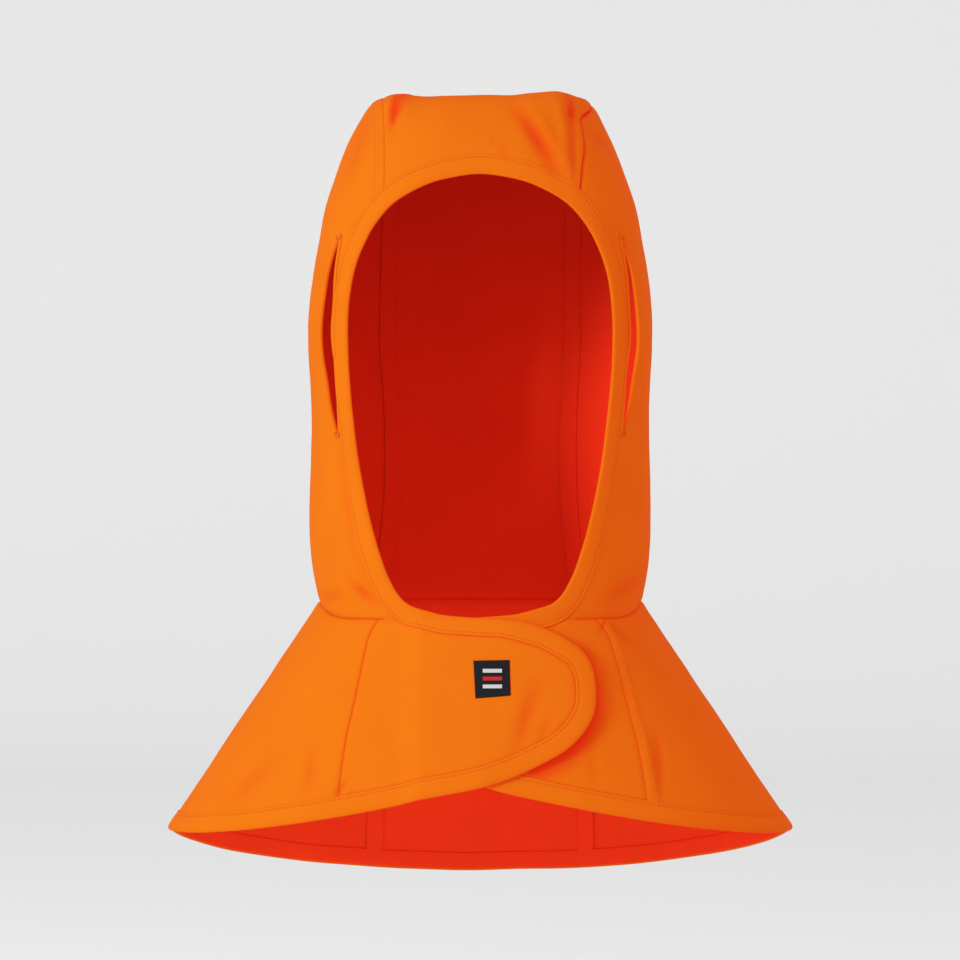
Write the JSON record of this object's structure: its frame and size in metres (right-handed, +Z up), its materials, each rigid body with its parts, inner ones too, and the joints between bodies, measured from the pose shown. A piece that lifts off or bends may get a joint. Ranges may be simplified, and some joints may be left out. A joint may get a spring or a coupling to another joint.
{
  "type": "helmet neck cover",
  "caption": "Soft cloth hood with a rounded face opening and long ear slits, joined at the neck to a flared shoulder cape that closes with a round-tipped front flap.",
  "frame": {"origin": "inside of the top of the crown, where the hood sits on the head", "axes": "+Z up from the hem to the crown, the face opening looks along -Y, +X is the wearer's left"},
  "size_m": [0.386, 0.2819, 0.4895],
  "materials": {
    "orange_cloth": "matte twill",
    "hook_and_loop": "matte pile",
    "black_label": "matte woven"
  },
  "bodies": {
    "root": {"crown_panel": "orange_cloth", "side_panel_right": "orange_cloth", "side_panel_left": "orange_cloth", "face_facing": "orange_cloth", "cape_back": "orange_cloth", "cape_side_right": "orange_cloth", "cape_side_left": "orange_cloth", "cape_under_flap": "orange_cloth", "cape_over_flap": "orange_cloth", "over_flap_facing": "orange_cloth", "under_flap_facing": "orange_cloth", "hem_facing": "orange_cloth", "closure_patch": "hook_and_loop", "neck_label": "black_label"}
  },
  "joints": []
}
